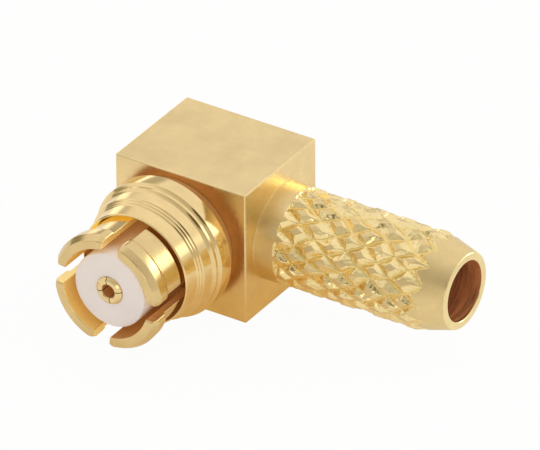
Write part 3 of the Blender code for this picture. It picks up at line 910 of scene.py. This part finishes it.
def make_camera():
    data = bpy.data.cameras.new("photo_camera")
    data.sensor_width = SENSOR_WIDTH
    data.lens = FOCAL_PIXELS / IMAGE_WIDTH * data.sensor_width
    data.clip_start = NEAREST_SEEN
    data.clip_end = FARTHEST_SEEN
    right = Vector((cos(AZIMUTH), sin(AZIMUTH), 0))
    back = Vector((sin(AZIMUTH) * cos(ELEVATION), -cos(AZIMUTH) * cos(ELEVATION), sin(ELEVATION)))
    up = back.cross(right)
    turned_right = cos(ROLL) * right + sin(ROLL) * up
    turned_up = cos(ROLL) * up - sin(ROLL) * right
    target = Vector(((block_low.x + block_high.x) / 2, 0, (block_low.z + block_high.z) / 2))
    place = (target + back * (FOCAL_PIXELS / PIXELS_PER_MM)
             - turned_right * (SHIFT_RIGHT / PIXELS_PER_MM) - turned_up * (SHIFT_UP / PIXELS_PER_MM))
    camera = link("photo_camera", data)
    axes = Matrix((turned_right, turned_up, back)).transposed()
    camera.matrix_world = Matrix.Translation(place * MM) @ axes.to_4x4()
    bpy.context.scene.camera = camera


def make_floor():
    """Pale table: white to the camera with a faint shadow, warmer close in to reflections."""
    mesh = bpy.data.meshes.new("table")
    mesh.from_pydata([(-TABLE_HALF, -TABLE_HALF, 0), (TABLE_HALF, -TABLE_HALF, 0),
                      (TABLE_HALF, TABLE_HALF, 0), (-TABLE_HALF, TABLE_HALF, 0)],
                     [], [(0, 1, 2, 3)])
    table = link("table", mesh)
    material = bpy.data.materials.new("pale_table")
    material.use_nodes = True
    nodes = material.node_tree.nodes
    links = material.node_tree.links
    nodes.clear()
    paper = nodes.new("ShaderNodeBsdfDiffuse")
    paper.inputs["Color"].default_value = PAPER
    path = nodes.new("ShaderNodeLightPath")
    place = nodes.new("ShaderNodeTexCoord")
    apart = nodes.new("ShaderNodeVectorMath")
    apart.operation = "LENGTH"
    links.new(place.outputs["Object"], apart.inputs[0])
    cast = colour_mix(nodes)
    cast.inputs["A"].default_value = NEAR_GLOW
    cast.inputs["B"].default_value = FAR_GLOW
    links.new(smooth_step(nodes, links, apart.outputs["Value"], NEAR_REACH * MM, FAR_REACH * MM),
              cast.inputs["Factor"])
    shown = paper
    for ray, part, colour in (("Is Glossy Ray", GLOSSY_SHARE, cast.outputs["Result"]),
                              ("Is Camera Ray", CAMERA_SHARE, None)):
        glow = nodes.new("ShaderNodeEmission")
        if colour:
            links.new(colour, glow.inputs["Color"])
        share = nodes.new("ShaderNodeMath")
        share.operation = "MULTIPLY"
        share.inputs[1].default_value = part
        links.new(path.outputs[ray], share.inputs[0])
        mix = nodes.new("ShaderNodeMixShader")
        links.new(share.outputs[0], mix.inputs["Fac"])
        links.new(shown.outputs[0], mix.inputs[1])
        links.new(glow.outputs[0], mix.inputs[2])
        shown = mix
    out = nodes.new("ShaderNodeOutputMaterial")
    links.new(shown.outputs[0], out.inputs["Surface"])
    mesh.materials.append(material)
    table.location.z = -TABLE_DROP * MM


def make_world():
    """Soft studio for the reflections, with its bright and dark patches, and white behind."""
    world = bpy.data.worlds.new("studio")
    bpy.context.scene.world = world
    world.use_nodes = True
    nodes = world.node_tree.nodes
    links = world.node_tree.links
    nodes.clear()
    direction = nodes.new("ShaderNodeTexCoord").outputs["Generated"]
    split = nodes.new("ShaderNodeSeparateXYZ")
    links.new(direction, split.inputs[0])
    shown = ramp(nodes, links, split.outputs["Z"], (0.0, DOME_LOW), (DOME_RISE, DOME_HIGH))
    for centre, inner, outer, colour in STUDIO_PATCHES:
        aim = nodes.new("ShaderNodeVectorMath")
        aim.operation = "DOT_PRODUCT"
        links.new(direction, aim.inputs[0])
        aim.inputs[1].default_value = Vector(centre).normalized()
        patch = colour_mix(nodes)
        links.new(smooth_step(nodes, links, aim.outputs["Value"], cos(radians(outer)),
                              cos(radians(inner))), patch.inputs["Factor"])
        links.new(shown, patch.inputs["A"])
        patch.inputs["B"].default_value = (*colour, 1)
        shown = patch.outputs["Result"]
    sky = nodes.new("ShaderNodeBackground")
    links.new(shown, sky.inputs["Color"])
    sky.inputs["Strength"].default_value = 1.0
    white = nodes.new("ShaderNodeBackground")
    white.inputs["Color"].default_value = (1, 1, 1, 1)
    path = nodes.new("ShaderNodeLightPath")
    mix = nodes.new("ShaderNodeMixShader")
    links.new(path.outputs["Is Camera Ray"], mix.inputs["Fac"])
    links.new(sky.outputs[0], mix.inputs[1])
    links.new(white.outputs[0], mix.inputs[2])
    out = nodes.new("ShaderNodeOutputWorld")
    links.new(mix.outputs[0], out.inputs["Surface"])


make_camera()
make_floor()
make_world()
bpy.context.scene.view_settings.view_transform = "Standard"
